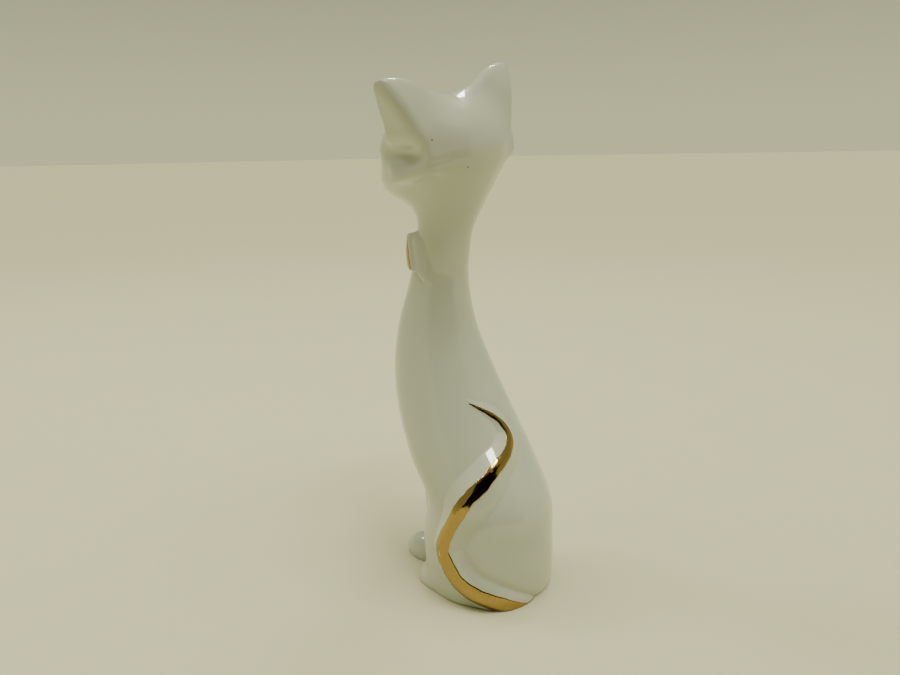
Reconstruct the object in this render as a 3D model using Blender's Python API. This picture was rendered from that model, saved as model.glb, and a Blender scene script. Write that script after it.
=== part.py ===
"""Seated long-necked ceramic cat with a bow and a gilded tail, as separate closed solids.

The cat looks along -Y, its left side is +X and it stands on z = 0. Lengths are metres.
Heights, forwards and sideways values below are millimetres times MM.
"""

import math

import bmesh
import bpy
from mathutils import Matrix, Vector
from mathutils.bvhtree import BVHTree

MM = 0.001
GAP = 0.3 * MM

# The middle of the base circle, seen from the origin at the middle of the whole figure's outline.
BASE = Vector((-4.2 * MM, 8.9 * MM, 0.0))

# Body stations, bottom to top: height, centre's forward offset, half depth, half width.
BODY_STATIONS = [
    (0.0, -0.6, 24.0, 24.0),
    (6.0, -0.9, 24.9, 24.9),
    (20.0, -1.2, 24.7, 24.7),
    (35.0, -1.0, 24.0, 23.8),
    (50.0, 8.2, 24.3, 23.9),
    (66.0, 17.2, 22.8, 22.2),
    (82.0, 23.8, 19.8, 19.3),
    (98.0, 27.0, 15.7, 15.3),
    (116.0, 25.5, 11.4, 11.4),
    (128.0, 23.2, 10.6, 10.6),
    (142.0, 20.4, 10.4, 10.4),
]
NECK_TOP = 140.0 * MM
WALL = 2.8 * MM
# The wall is thicker at the foot, and thins between these two heights in mm.
FOOT_RIM = 5.0 * MM
FOOT_RIM_HEIGHTS = (4.0, 12.0)

# Limbs stand out from the plain body by a rise in mm, round an angle from straight ahead
# with a spread in degrees. Each of these fades out between two heights in mm:
# the cleft between the forelegs, the foreleg and the crease behind it.
LIMB_BANDS = (
    (-2.2, 0.0, 3.0, 34.0, 52.0),
    (2.4, 14.0, 11.0, 30.0, 56.0),
    (-1.5, 36.0, 7.0, 26.0, 44.0),
)
# Paw and hind foot: rise, angle, spread, squareness of the sides, top and squareness of the top.
LIMB_FEET = (
    (13.6, 12.5, 11.0, 4.0, 12.5, 2.5),
    (2.2, 50.0, 14.0, 2.0, 9.0, 2.0),
)
FOOT_ROUNDING = 0.6
# Haunch: rise, angle, spread, height, spread of height.
HAUNCH = (1.0, 68.0, 32.0, 24.0, 20.0)

HEAD_CENTRE = BASE + Vector((0.0, -19.5 * MM, 162.0 * MM))
HEAD_TILT = math.radians(8.6)
# Everything on the head is placed from the head's centre: x to the side, y back, z up.
SKULL_HALF = (24.5 * MM, 21.5 * MM, 22.3 * MM)
# Below its widest place the skull narrows to the neck like a cone.
TAPER_RADIUS = 26.9 * MM
TAPER_SLOPE = 0.83
BROW_CENTRE = (0.0, -5.0 * MM, 5.0 * MM)
BROW_HALF = (22.0 * MM, 17.0 * MM, 12.0 * MM)
CHEEK_CENTRE = (15.0 * MM, -1.5 * MM, -3.4 * MM)
CHEEK_HALF = (10.6 * MM, 13.0 * MM, 4.6 * MM)
CHEEK_SWEEP = math.radians(11.0)
JOWL_CENTRE = (9.2 * MM, -9.5 * MM, -6.0 * MM)
JOWL_HALF = (12.4 * MM, 12.5 * MM, 9.3 * MM)
MUZZLE_CENTRE = (0.0, -18.6 * MM, -7.0 * MM)
MUZZLE_HALF = (7.8 * MM, 7.4 * MM, 5.6 * MM)
# The balls whose hull is an ear: place of the left one and radius.
EAR_BALLS = (
    ((29.6 * MM, 4.0 * MM, 28.3 * MM), 2.2 * MM),
    ((23.0 * MM, 0.0, 8.0 * MM), 1.4 * MM),
    ((21.5 * MM, 11.0 * MM, 5.0 * MM), 3.0 * MM),
    ((6.0 * MM, 6.0 * MM, 16.0 * MM), 3.4 * MM),
    ((19.0 * MM, 9.2 * MM, 17.6 * MM), 3.2 * MM),
    ((17.5 * MM, 5.6 * MM, 23.6 * MM), 3.2 * MM),
)

HEAD_WALL = 4.0 * MM
# The head's own stretch of neck: rings this far apart, flaring out into the skull.
COLLAR_RINGS = 6
COLLAR_STEP = 3.0 * MM
COLLAR_FLARE = 7.0 * MM
BORE_DOWN = 4.0 * MM
BORE_UP = 14.0 * MM
MELT_SIZE = 1.2 * MM
MELT_SMOOTHING = 6
MELT_KEPT = 0.24

BOW_HEIGHT = 127.5 * MM
BOW_KNOT_ANGLE = 12.0
BOW_END_ANGLE = 68.0
BOW_KNOT_HALF = 2.9 * MM
BOW_END_HALF = 7.2 * MM
# The bow's face stands upright, round an axis this far in front of the middle of the base.
BOW_AXIS = BASE + Vector((0.0, -23.2 * MM, 0.0))
BOW_RADIUS = 13.4 * MM
GILT = 0.4 * MM
# Share of the way from the throat to the bow's face that a pad reaches, at its edge and middle.
LOOP_FULLNESS = (0.85, 1.0)
KNOT_FULLNESS = (0.9, 1.25)
GILDING_MARGIN = 0.6 * MM
GILDING_INSET = 0.06

# The tail's run from its root at the back to its tip: angle in degrees round the body, then
# height, half width of the gilding and rise of the crest in mm.
TAIL_PATH = [
    (176.0, 1.6, 2.6, 1.2),
    (164.0, 1.7, 3.0, 1.9),
    (150.0, 2.3, 3.2, 2.4),
    (137.0, 4.0, 3.1, 2.6),
    (123.0, 7.2, 2.9, 2.7),
    (110.0, 11.3, 2.7, 2.8),
    (101.0, 16.6, 2.6, 2.8),
    (96.0, 22.5, 2.6, 2.8),
    (99.0, 28.9, 2.1, 2.8),
    (106.5, 34.7, 1.95, 2.8),
    (116.5, 39.2, 1.9, 2.8),
    (130.0, 43.9, 1.8, 2.7),
    (144.0, 48.0, 1.8, 2.6),
    (158.5, 52.1, 1.7, 2.4),
    (174.0, 56.2, 1.6, 2.1),
    (184.0, 61.0, 1.6, 1.8),
    (181.0, 66.0, 1.4, 1.4),
    (171.5, 69.9, 1.0, 1.0),
    (162.0, 72.4, 0.6, 0.6),
]
# Width of the tail's steep front flank and of its long back flank, for each mm of rise.
TAIL_FRONT = 1.75
TAIL_BACK = 2.65
TAIL_EDGE = 0.5 * MM
TAIL_FLOOR = 0.8
TAIL_COLUMNS = 60
TAIL_RADIUS = 24.5

EYE_PLACE = (10.3 * MM, 4.4 * MM)
EYE_HALF = (4.6 * MM, 2.2 * MM)
EYE_SLANT = 0.30
NOSE_UP = -3.0 * MM
NOSE_HALF = (2.6 * MM, 1.5 * MM)
# The enamel hovers over the skin by the lift and is this thick at its edge and middle.
ENAMEL_LIFT = 0.5 * MM
ENAMEL_THICK = (0.3 * MM, 0.7 * MM)

BODY_COLUMNS = 54
BODY_ROWS = 42
CAVITY_ROWS = 20


def clear_scene():
    """Empty the file of the objects it opened with."""
    for item in list(bpy.data.objects):
        bpy.data.objects.remove(item)


def material(name, colour, roughness, metallic, coat=0.0):
    """A plain Principled material."""
    made = bpy.data.materials.new(name)
    made.use_nodes = True
    shader = made.node_tree.nodes["Principled BSDF"]
    shader.inputs["Base Color"].default_value = (*colour, 1.0)
    shader.inputs["Roughness"].default_value = roughness
    shader.inputs["Metallic"].default_value = metallic
    shader.inputs["Coat Weight"].default_value = coat
    return made


def glaze(name):
    return material(name, (0.80, 0.81, 0.78), 0.12, 0.0, 0.5)


def lustre(name):
    return material(name, (0.78, 0.52, 0.16), 0.16, 1.0)


def smooth(edge0, edge1, value):
    """Smoothstep from 0 at edge0 to 1 at edge1."""
    t = min(max((value - edge0) / (edge1 - edge0), 0.0), 1.0)
    return t * t * (3.0 - 2.0 * t)


def station(height):
    """Catmull-Rom blend of the body stations at a height: forward, half depth, half width."""
    mm = height / MM
    rows = BODY_STATIONS
    i = 0
    while i < len(rows) - 2 and mm > rows[i + 1][0]:
        i += 1
    before = rows[max(i - 1, 0)]
    low = rows[i]
    high = rows[i + 1]
    after = rows[min(i + 2, len(rows) - 1)]
    span = high[0] - low[0]
    t = (mm - low[0]) / span
    values = []
    for k in (1, 2, 3):
        slope_low = (high[k] - before[k]) / (high[0] - before[0]) * span
        slope_high = (after[k] - low[k]) / (after[0] - low[0]) * span
        h00 = (1 + 2 * t) * (1 - t) ** 2
        h10 = t * (1 - t) ** 2
        h01 = t * t * (3 - 2 * t)
        h11 = t * t * (t - 1)
        value = h00 * low[k] + h10 * slope_low + h01 * high[k] + h11 * slope_high
        values.append(value * MM)
    return values


def bump(value, centre, width, power=2.0):
    """A bell of height 1 at the centre."""
    return math.exp(-abs((value - centre) / width) ** power)


def limbs(angle, height):
    """How far legs, paws and haunches stand out from the plain body, along the radius."""
    side = abs((math.degrees(angle) + 180.0) % 360.0 - 180.0)
    mm = height / MM
    total = 0.0
    for rise, centre, spread, low, high in LIMB_BANDS:
        total += rise * bump(side, centre, spread) * (1.0 - smooth(low, high, mm))
    for rise, centre, spread, squareness, top, roundness in LIMB_FEET:
        left = max(1.0 - (mm / top) ** roundness, 0.0) ** FOOT_ROUNDING
        total += rise * bump(side, centre, spread, squareness) * left
    rise, centre, spread, middle, tall = HAUNCH
    total += rise * bump(side, centre, spread) * bump(mm, middle, tall)
    return total * MM


def body_point(angle, height, offset=0.0):
    """Point on the body's skin; the angle runs from straight ahead towards the cat's left."""
    forward, depth, width = station(height)
    cosine = math.cos(angle)
    sine = math.sin(angle)
    radius = depth * width / math.hypot(width * cosine, depth * sine)
    radius += limbs(angle, height) + offset
    return BASE + Vector((radius * sine, -forward - radius * cosine, height))


def cavity_point(angle, height):
    """Point on the inside of the body's wall."""
    forward, depth, width = station(height)
    wall = FOOT_RIM + (WALL - FOOT_RIM) * smooth(*FOOT_RIM_HEIGHTS, height / MM)
    radius = min(depth, width) - wall
    return BASE + Vector((radius * math.sin(angle), -forward - radius * math.cos(angle), height))


def angles(columns):
    return [2.0 * math.pi * i / columns for i in range(columns)]


def finish(name, mesh_data, look):
    """Turn a bmesh into a named, shaded object with outward faces."""
    bmesh.ops.recalc_face_normals(mesh_data, faces=mesh_data.faces)
    mesh = bpy.data.meshes.new(name)
    mesh_data.to_mesh(mesh)
    mesh_data.free()
    for face in mesh.polygons:
        face.use_smooth = True
    mesh.materials.append(look)
    made = bpy.data.objects.new(name, mesh)
    bpy.context.collection.objects.link(made)
    return made


def loft(rings, wrap=False):
    """Skin a stack of equal rings; wrap joins the last ring to the first, or else the ends are capped."""
    made = bmesh.new()
    rows = [[made.verts.new(point) for point in ring] for ring in rings]
    pairs = list(zip(rows, rows[1:]))
    if wrap:
        pairs.append((rows[-1], rows[0]))
    else:
        made.faces.new(rows[0])
        made.faces.new(rows[-1])
    for low, high in pairs:
        count = len(low)
        for i in range(count):
            after = (i + 1) % count
            made.faces.new((low[i], low[after], high[after], high[i]))
    return made


def body_shell():
    """Hollow casting from the foot rim to the neck's luting face, open below and at the neck."""
    turns = angles(BODY_COLUMNS)
    outer = []
    for row in range(BODY_ROWS + 1):
        share = row / BODY_ROWS
        height = NECK_TOP * (0.35 * share * share + 0.65 * share)
        outer.append([body_point(turn, height) for turn in turns])
    inner = []
    for row in range(CAVITY_ROWS + 1):
        height = NECK_TOP * (1.0 - row / CAVITY_ROWS)
        inner.append([cavity_point(turn, height) for turn in turns])
    return finish("body_shell", loft(outer + inner, wrap=True), glaze("body_glaze"))


def head_matrix():
    """Head frame in the world: at the head's centre, tilted towards the left shoulder."""
    return Matrix.Translation(HEAD_CENTRE) @ Matrix.Rotation(HEAD_TILT, 4, "Y")


def blob(name, centre, half, look, sweep=0.0):
    """Ellipsoid in the head frame, its back end lifted by the sweep."""
    made = bmesh.new()
    place = head_matrix() @ Matrix.Translation(centre) @ Matrix.Rotation(sweep, 4, "X")
    place = place @ Matrix.Diagonal((*half, 1.0))
    bmesh.ops.create_uvsphere(made, u_segments=40, v_segments=26, radius=1.0, matrix=place)
    return finish(name, made, look)


def skull(name, inset, look):
    """Egg that narrows to the neck, smaller all round by the inset."""
    made = bmesh.new()
    bmesh.ops.create_uvsphere(made, u_segments=40, v_segments=30, radius=1.0)
    half = [size - inset for size in SKULL_HALF]
    for vertex in made.verts:
        place = Vector([vertex.co[k] * half[k] for k in range(3)])
        radius = math.hypot(vertex.co.x, vertex.co.y) * half[0]
        limit = TAPER_RADIUS - inset + TAPER_SLOPE * place.z
        if radius > limit:
            place.x *= limit / radius
            place.y *= limit / radius
        vertex.co = head_matrix() @ place
    return finish(name, made, look)


def ear(name, side, look):
    """Ear with a keen front edge and a full back: the hull of a few balls; side is 1 for left."""
    made = bmesh.new()
    for (x, y, z), radius in EAR_BALLS:
        place = head_matrix() @ Matrix.Translation((side * x, y, z))
        bmesh.ops.create_icosphere(made, subdivisions=2, radius=radius, matrix=place)
    hull = bmesh.ops.convex_hull(made, input=made.verts)
    spare = hull["geom_interior"] + hull["geom_unused"]
    bmesh.ops.delete(made, geom=[g for g in spare if isinstance(g, bmesh.types.BMVert)], context="VERTS")
    return finish(name, made, look)


def combine(target, tool, operation):
    """Exact Boolean of the tool into the target, after which the tool is gone."""
    modifier = target.modifiers.new("combine", "BOOLEAN")
    modifier.operation = operation
    modifier.solver = "EXACT"
    modifier.object = tool
    bpy.context.view_layer.objects.active = target
    bpy.ops.object.modifier_apply(modifier=modifier.name)
    bpy.data.objects.remove(tool)


def neck_collar(look):
    """The head casting's own stretch of neck, from its luting face up into the skull."""
    rings = []
    for row in range(COLLAR_RINGS):
        height = NECK_TOP + (row - 1) * COLLAR_STEP
        forward, depth, width = station(min(height, BODY_STATIONS[-1][0] * MM))
        flare = COLLAR_FLARE * (max(row - 1, 0) / (COLLAR_RINGS - 2)) ** 1.5
        rings.append([
            BASE + Vector((
                (width + flare) * math.sin(turn),
                -forward - (depth + flare) * math.cos(turn),
                height,
            ))
            for turn in angles(40)
        ])
    return finish("neck_collar", loft(rings), look)


def luting_plane(look):
    """Block whose top trims the head flat at its luting face."""
    made = bmesh.new()
    size = Matrix.Diagonal((60.0 * MM, 60.0 * MM, 10.0 * MM, 1.0))
    below = Matrix.Translation((0.0, 0.0, NECK_TOP + GAP - 5.0 * MM))
    bmesh.ops.create_cube(made, size=1.0, matrix=below @ size)
    return finish("luting_plane", made, look)


def throat_bore(look):
    """Space that joins the head's hollow to the neck's."""
    forward = station(NECK_TOP)[0]
    radius = min(station(NECK_TOP)[1:]) - WALL
    rings = []
    for height in (NECK_TOP - BORE_DOWN, NECK_TOP + BORE_UP):
        rings.append([
            BASE + Vector((radius * math.sin(turn), -forward - radius * math.cos(turn), height))
            for turn in angles(32)
        ])
    return finish("throat_bore", loft(rings), look)


def fuse(name, pieces, look):
    """Melt overlapping closed pieces into one soft-edged closed skin."""
    joined = bmesh.new()
    for piece in pieces:
        joined.from_mesh(piece.data)
        bpy.data.objects.remove(piece)
    fused = finish(name, joined, look)
    remesh = fused.modifiers.new("melt", "REMESH")
    remesh.mode = "VOXEL"
    remesh.voxel_size = MELT_SIZE
    soften = fused.modifiers.new("soften", "SMOOTH")
    soften.factor = 0.5
    soften.iterations = MELT_SMOOTHING
    lighten = fused.modifiers.new("lighten", "DECIMATE")
    lighten.ratio = MELT_KEPT
    bpy.context.view_layer.objects.active = fused
    for modifier in ("melt", "soften", "lighten"):
        bpy.ops.object.modifier_apply(modifier=modifier)
    return fused


def head_shell():
    """Hollow head with both ears and the muzzle, open at the neck."""
    look = glaze("head_glaze")
    pieces = [
        skull("skull", 0.0, look),
        blob("brow", BROW_CENTRE, BROW_HALF, look),
        blob("muzzle", MUZZLE_CENTRE, MUZZLE_HALF, look),
        neck_collar(look),
    ]
    for side in (1, -1):
        pieces += [
            blob("cheek", (side * CHEEK_CENTRE[0], *CHEEK_CENTRE[1:]), CHEEK_HALF, look, CHEEK_SWEEP),
            blob("jowl", (side * JOWL_CENTRE[0], *JOWL_CENTRE[1:]), JOWL_HALF, look),
            ear("ear", side, look),
        ]
    head = fuse("head_shell", pieces, look)
    combine(head, luting_plane(look), "DIFFERENCE")
    combine(head, skull("hollow", HEAD_WALL, look), "DIFFERENCE")
    combine(head, throat_bore(look), "DIFFERENCE")
    for face in head.data.polygons:
        face.use_smooth = True
    return head


def wrapped_patch(name, look, point, across, up, inner, outer, columns=10, rows=7):
    """Closed pad on a skin: point(u, v, offset) for u in across and v in up(u), between two offsets."""
    made = bmesh.new()
    layers = []
    for offset in (inner, outer):
        grid = []
        for i in range(columns + 1):
            u = across[0] + (across[1] - across[0]) * i / columns
            low, high = up(u)
            line = []
            for j in range(rows + 1):
                v = low + (high - low) * j / rows
                line.append(made.verts.new(point(u, v, offset(i / columns, j / rows))))
            grid.append(line)
        layers.append(grid)
    for i in range(columns):
        for j in range(rows):
            for grid in layers:
                made.faces.new((grid[i][j], grid[i + 1][j], grid[i + 1][j + 1], grid[i][j + 1]))
    under, over = layers
    rim = [(i, 0) for i in range(columns)]
    rim += [(columns, j) for j in range(rows)]
    rim += [(i, rows) for i in range(columns, 0, -1)]
    rim += [(0, j) for j in range(rows, 0, -1)]
    for (i, j), (k, m) in zip(rim, rim[1:] + rim[:1]):
        made.faces.new((under[i][j], under[k][m], over[k][m], over[i][j]))
    return finish(name, made, look)


def pillow(thick_edge, thick_middle, base):
    """Offset above a skin that swells from a thin edge to a thick middle."""
    def offset(i, j):
        swell = (1.0 - (2.0 * i - 1.0) ** 4) * (1.0 - (2.0 * j - 1.0) ** 4)
        return base + thick_edge + (thick_middle - thick_edge) * swell
    return offset


def level(value):
    return lambda i, j: value


def bow_face(turn, height, offset=0.0):
    """Point on the bow's upright face."""
    radius = BOW_RADIUS + offset
    return BOW_AXIS + Vector((radius * math.sin(turn), -radius * math.cos(turn), height))


def bow_pad(turn, height, share):
    """Point between the throat's skin, for a share of 0, and the bow's face, for a share of 1."""
    return body_point(turn, height, GAP).lerp(bow_face(turn, height), share)


def bow():
    """Moulded bow tie on the throat: two loops, a knot and the gilding on each loop."""
    start = math.radians(BOW_KNOT_ANGLE) + 0.03
    end = math.radians(BOW_END_ANGLE)

    def loop_heights(turn):
        share = (abs(turn) - start) / (end - start)
        half = BOW_KNOT_HALF + (BOW_END_HALF - BOW_KNOT_HALF) * share ** 0.8
        return BOW_HEIGHT - half, BOW_HEIGHT + half

    def gilding_heights(turn):
        low, high = loop_heights(turn)
        return low + GILDING_MARGIN, high - GILDING_MARGIN

    for side, word in ((1, "left"), (-1, "right")):
        wrapped_patch(
            f"bow_loop_{word}", glaze(f"bow_{word}_glaze"), bow_pad,
            (side * start, side * end), loop_heights, level(0.0), pillow(*LOOP_FULLNESS, 0.0),
        )
        wrapped_patch(
            f"bow_gilding_{word}", lustre(f"bow_{word}_lustre"), bow_face,
            (side * (start + GILDING_INSET), side * (end - GILDING_INSET)), gilding_heights,
            level(GAP), level(GAP + GILT),
        )
    half = math.radians(BOW_KNOT_ANGLE) - 0.01
    wrapped_patch(
        "bow_knot", glaze("bow_knot_glaze"), bow_pad, (-half, half),
        lambda turn: (BOW_HEIGHT - BOW_KNOT_HALF, BOW_HEIGHT + BOW_KNOT_HALF),
        level(0.0), pillow(*KNOT_FULLNESS, 0.0), columns=6,
    )


def tail_row(share):
    """Angle, height, gilding's half width and rise at a share of the tail's run from the root."""
    rows = TAIL_PATH
    place = share * (len(rows) - 1)
    i = min(int(place), len(rows) - 2)
    t = place - i
    before, low, high, after = (rows[min(max(k, 0), len(rows) - 1)] for k in range(i - 1, i + 3))
    return [
        0.5 * (2 * b + (c - a) * t + (2 * a - 5 * b + 4 * c - d) * t * t + (3 * b - a - 3 * c + d) * t ** 3)
        for a, b, c, d in zip(before, low, high, after)
    ]


def tail_sideways(share):
    """Direction across the tail, towards its back flank: mm of arc and mm of height for each mm."""
    turn_on, height_on = tail_row(min(share + 0.01, 1.0))[:2]
    turn_back, height_back = tail_row(max(share - 0.01, 0.0))[:2]
    along_arc = math.radians(turn_on - turn_back) * TAIL_RADIUS
    along_height = height_on - height_back
    length = math.hypot(along_arc, along_height)
    return along_height / length, -along_arc / length


def tail_point(share, across, lift):
    """Point over the body's skin, across the tail from its crest by so many mm."""
    turn, height = tail_row(share)[:2]
    side_arc, side_height = tail_sideways(share)
    return body_point(
        math.radians(turn) + side_arc * across / TAIL_RADIUS,
        (height + side_height * across) * MM, lift,
    )


def tail_flanks(share):
    """Where the relief ends on either side of its crest, kept clear of the floor."""
    _, height, _, rise = tail_row(share)
    front = -TAIL_FRONT * rise
    back = TAIL_BACK * rise
    side_height = tail_sideways(share)[1]
    if side_height > 0.0:
        front = max(front, (TAIL_FLOOR - height) / side_height)
    else:
        back = min(back, (TAIL_FLOOR - height) / min(side_height, -0.01))
    return front, back


def tail_lift(share, across):
    """Height of the relief over the body's skin."""
    rise = tail_row(share)[3]
    width = rise * (TAIL_BACK if across > 0.0 else TAIL_FRONT)
    roof = max(1.0 - math.hypot(across, 0.5) / width, 0.0) ** 1.25
    return GAP + TAIL_EDGE + rise * roof * MM


def tail():
    """Raised tail on the left flank with gilding along its crest."""
    def relief(share, across, layer):
        return tail_point(share, across, GAP + (tail_lift(share, across) - GAP) * layer)

    def gilding(share, across, layer):
        return tail_point(share, across, tail_lift(share, across) + GAP + GILT * layer)

    def gilding_sides(share):
        front, back = tail_flanks(share)
        half = tail_row(share)[2]
        return max(front, -half), min(back, half)

    wrapped_patch(
        "tail_relief", glaze("tail_glaze"), relief, (0.0, 1.0), tail_flanks,
        level(0.0), level(1.0), columns=TAIL_COLUMNS, rows=10,
    )
    wrapped_patch(
        "tail_gilding", lustre("tail_lustre"), gilding, (0.01, 0.99), gilding_sides,
        level(0.0), level(1.0), columns=TAIL_COLUMNS, rows=6,
    )


def on_face(head):
    """Function that lays a point on the head's front skin, at a place in the head frame."""
    skin = BVHTree.FromPolygons(
        [vertex.co for vertex in head.data.vertices],
        [tuple(face.vertices) for face in head.data.polygons],
    )
    frame = head_matrix()
    ahead = (frame.to_3x3() @ Vector((0.0, -1.0, 0.0))).normalized()

    def point(x, z, offset):
        start = frame @ Vector((x, -2.0 * SKULL_HALF[1], z))
        place = skin.ray_cast(start, -ahead)[0]
        outward = (place - frame @ Vector((0.0, -0.3 * SKULL_HALF[1], 0.0))).normalized()
        return place + outward * offset

    return point


def face(head):
    """Painted eyes and nose, as thin raised enamel."""
    face_point = on_face(head)

    def almond(centre, half_long, half_high):
        def heights(x):
            share = min(abs(x - centre[0]) / half_long, 0.98)
            half = half_high * math.sqrt(1.0 - share * share)
            lean = math.copysign(EYE_SLANT, centre[0]) * (x - centre[0])
            return centre[1] + lean - half, centre[1] + lean + half
        return heights

    enamel = material("enamel", (0.05, 0.045, 0.04), 0.15, 0.0)
    for side, word in ((1, "left"), (-1, "right")):
        centre = (side * EYE_PLACE[0], EYE_PLACE[1])
        across = (centre[0] - EYE_HALF[0], centre[0] + EYE_HALF[0])
        wrapped_patch(
            f"eye_{word}", enamel, face_point, across, almond(centre, *EYE_HALF),
            level(ENAMEL_LIFT), pillow(*ENAMEL_THICK, ENAMEL_LIFT), columns=10, rows=5,
        )

    def nose_heights(x):
        share = abs(x) / NOSE_HALF[0]
        return NOSE_UP - NOSE_HALF[1] * (1.0 - 0.85 * share), NOSE_UP + NOSE_HALF[1] * (1.0 - 0.4 * share)

    wrapped_patch(
        "nose", enamel, face_point, (-NOSE_HALF[0], NOSE_HALF[0]), nose_heights,
        level(ENAMEL_LIFT), pillow(*ENAMEL_THICK, ENAMEL_LIFT), columns=6, rows=4,
    )


def build():
    clear_scene()
    body_shell()
    head = head_shell()
    bow()
    tail()
    face(head)


build()
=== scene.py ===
"""Looks of the seated ceramic cat: one continuous glazed skin, its gilding and its painted face.

The skin is an implicit surface. Every form is a signed distance in millimetres, in the cat's
frame: x to the cat's left, y backwards, z up, from the middle of the base circle on the floor.
"""

import math

import bpy
import numpy as np
from mathutils import Matrix, Vector


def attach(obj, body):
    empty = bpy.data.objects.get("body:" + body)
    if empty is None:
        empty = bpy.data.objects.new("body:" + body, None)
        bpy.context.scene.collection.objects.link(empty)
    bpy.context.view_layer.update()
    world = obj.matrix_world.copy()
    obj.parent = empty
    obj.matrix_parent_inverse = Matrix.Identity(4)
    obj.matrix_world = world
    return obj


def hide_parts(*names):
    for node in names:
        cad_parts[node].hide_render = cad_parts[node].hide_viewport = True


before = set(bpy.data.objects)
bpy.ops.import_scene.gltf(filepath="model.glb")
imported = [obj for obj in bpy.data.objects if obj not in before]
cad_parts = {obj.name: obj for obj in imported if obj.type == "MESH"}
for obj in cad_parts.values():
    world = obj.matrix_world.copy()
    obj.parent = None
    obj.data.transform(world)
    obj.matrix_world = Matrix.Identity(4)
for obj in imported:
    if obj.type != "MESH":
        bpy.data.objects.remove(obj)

MM = 0.001
BASE = np.array((-4.2, 8.9, 0.0))
VOXEL = 0.5


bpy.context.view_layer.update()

# ---------------------------------------------------------------- form: driving sizes

# Height, centre's forward offset, half depth, half width of the plain body.
BODY_STATIONS = np.array((
    (0.0, -0.6, 24.0, 24.0),
    (6.0, -0.9, 24.9, 24.9),
    (20.0, -1.2, 24.7, 24.7),
    (35.0, -1.0, 24.0, 23.8),
    (50.0, 8.2, 24.3, 23.9),
    (66.0, 17.2, 22.8, 22.2),
    (82.0, 23.8, 19.8, 19.3),
    (98.0, 27.0, 15.7, 15.3),
    (116.0, 25.5, 11.4, 11.4),
    (128.0, 23.2, 10.6, 10.6),
    (142.0, 20.4, 10.4, 10.4),
    (156.0, 19.8, 11.0, 11.0),
))
WALL = 2.8
# The wall is thicker at the foot, and thins between these two heights.
FOOT_RIM = 5.0
FOOT_RIM_HEIGHTS = (4.0, 12.0)
LUTING_HEIGHT = 140.15
# The plain body ends inside the head, and the hollow of the neck ends a little lower.
NECK_TOP = 158.0
HOLLOW_TOP = 156.0
# Heights between which the tail, the bow and the head are worked out.
TAIL_ZONE_TOP = 85.0
BOW_ZONE = (112.0, 142.0)
HEAD_ZONE_BOTTOM = 120.0

# A lump is an ellipsoid's centre, its half sizes and the width over which it melts in. Those that
# lie off the middle are mirrored.
HAUNCH = ((11.5, 0.5, 19.0), (13.2, 17.6, 20.0), 3.0)
PAW = ((7.0, -29.0, 2.0), (6.2, 9.6, 7.4), 2.5)
HIND_FOOT = ((15.5, -9.0, 1.0), (8.4, 10.5, 6.0), 2.5)
# The foreleg's lower end and upper end, its radii there and the width of its melt.
FORELEG = ((5.6, -20.5, 8.0), (5.4, -23.0, 46.0), 5.2, 6.0)
FORELEG_MELT = 3.0

# Everything on the head is placed in the head's own frame, from its centre.
HEAD_CENTRE = np.array((0.0, -19.5, 162.0))
HEAD_TILT = math.radians(8.6)
NECK_MELT = 9.0
SKULL = (24.5, 21.5, 22.3)
# Below its widest place the skull narrows to the neck like a cone.
TAPER_RADIUS = 26.9
TAPER_SLOPE = 0.83
TAPER_SCALE = 0.77
TAPER_MELT = 5.0
SKULL_WALL = 4.5
BROW = ((0.0, -5.0, 5.0), (22.0, 17.0, 12.0), 5.0)
JOWL = ((9.2, -9.4, -5.6), (12.4, 12.5, 8.9), 5.0)
# Sideways distance over which the two jowls are joined across the middle.
JOWL_BRIDGE = 3.0
CHEEK = ((15.0, 0.3, -3.9), (9.8, 14.0, 3.2), 3.0)
# The cheek's ridge climbs towards the back by this much for each mm.
CHEEK_SWEEP = 0.28
MUZZLE = ((0.0, -18.7, -7.0), (7.5, 7.0, 5.5), 4.0)
# The temple is a lump taken away.
TEMPLE = ((28.6, 3.5, 4.4), (7.4, 13.0, 3.6), 5.0)

EAR_TIP = np.array((30.5, 4.0, 28.9))
EAR_FRONT = np.array((23.0, 0.0, 8.0))
EAR_BACK = np.array((21.5, 11.0, 5.0))
EAR_INNER = np.array((6.0, 6.0, 16.0))
EAR_MELT = 7.0
# Radius of the ball that each curved side belongs to, and how far each side stands out.
EAR_FRONT_BALL = (60.0, 1.0)
EAR_BACK_BALL = (40.0, 2.2)
EAR_SIDE_LIFT = 1.0
EAR_BASE_LIFT = 5.0
# Rounding of the keen front edge, of the full back, of the base and of the hollow's rim.
EAR_ROUND = (1.0, 5.0, 2.0, 1.5)
# The hollow of the ear: a tapered rod, from the tip to the root.
EAR_SCOOP = ((26.5, -1.4, 24.5), (15.5, -3.6, 12.5), 2.4, 5.6)

# Eye: centre, half sizes and slant. Nose: height and half sizes.
EYE_PLACE = (10.3, 4.4)
EYE_HALF = (4.6, 2.2)
EYE_SLANT = 0.30
NOSE_UP = -3.0
NOSE_HALF = (2.4, 1.5)

BOW_HEIGHT = 127.5
BOW_FORWARD = 23.2
BOW_RADIUS = 13.5
# Arcs from the middle at which a loop leaves the knot and ends, and its half heights there.
BOW_KNOT = 2.6
BOW_END = 15.4
BOW_KNOT_HALF = 2.6
BOW_END_HALF = 7.3
BOW_FLARE = 0.8
# How far the loop's end leans for each mm of rise, and how much its corners are turned in.
BOW_LEAN = 0.42
BOW_CORNER = 0.012
# The heel runs back from the loop's end, sinks into the throat and sags below.
BOW_HEEL = 6.0
BOW_HEEL_SINK = 0.62
BOW_HEEL_SAG = 0.22
BOW_PUFF = 0.5
# Rounding of the loop's outline and of its face, and of the place where it meets the knot.
BOW_OUTLINE_ROUND = 0.6
BOW_FACE_ROUND = 0.8
KNOT_MELT = 0.8
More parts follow.
